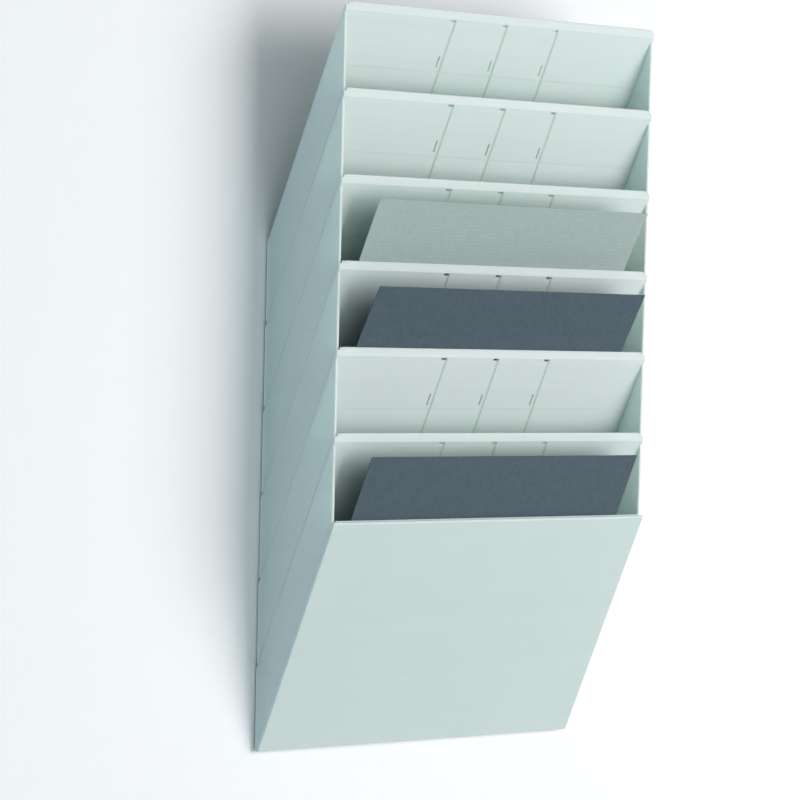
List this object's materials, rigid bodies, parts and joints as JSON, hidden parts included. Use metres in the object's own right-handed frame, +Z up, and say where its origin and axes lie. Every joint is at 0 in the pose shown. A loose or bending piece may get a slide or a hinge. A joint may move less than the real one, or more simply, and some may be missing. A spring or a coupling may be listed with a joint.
{
  "type": "wall chart rack",
  "caption": "Wall-mounted chart rack of stacked slanted landscape pockets with a plain front cover, holding loose chart cards.",
  "frame": {"origin": "on the wall surface, in the middle of the top tray's rear face", "axes": "+X to the right seen from the front, +Y into the wall, +Z up"},
  "size_m": [0.346, 0.1188, 0.5039],
  "materials": {
    "rack_plastic": "satin",
    "pale_card": "matte",
    "slate_card": "matte",
    "zinc_steel": "satin",
    "plug_nylon": "matte"
  },
  "bodies": {
    "rack": {"pocket_tray_1": "rack_plastic", "pocket_tray_2": "rack_plastic", "pocket_tray_3": "rack_plastic", "pocket_tray_4": "rack_plastic", "pocket_tray_5": "rack_plastic", "pocket_tray_6": "rack_plastic", "front_cover": "rack_plastic", "wall_screw_top_left": "zinc_steel", "wall_screw_top_right": "zinc_steel", "wall_screw_bottom_left": "zinc_steel", "wall_screw_bottom_right": "zinc_steel", "wall_plug_top_left": "plug_nylon", "wall_plug_top_right": "plug_nylon", "wall_plug_bottom_left": "plug_nylon", "wall_plug_bottom_right": "plug_nylon"},
    "card_3": {"chart_card_3": "pale_card"},
    "card_4": {"chart_card_4": "slate_card"},
    "card_6": {"chart_card_6": "slate_card"}
  },
  "joints": [
    {"name": "card_3_draw", "type": "slide", "parent": "rack", "child": "card_3", "axis": [0, -0.3693, 0.9293], "range_m": [0, 0.17]},
    {"name": "card_4_draw", "type": "slide", "parent": "rack", "child": "card_4", "axis": [0, -0.3693, 0.9293], "range_m": [0, 0.17]},
    {"name": "card_6_draw", "type": "slide", "parent": "rack", "child": "card_6", "axis": [0, -0.3693, 0.9293], "range_m": [0, 0.17]}
  ]
}
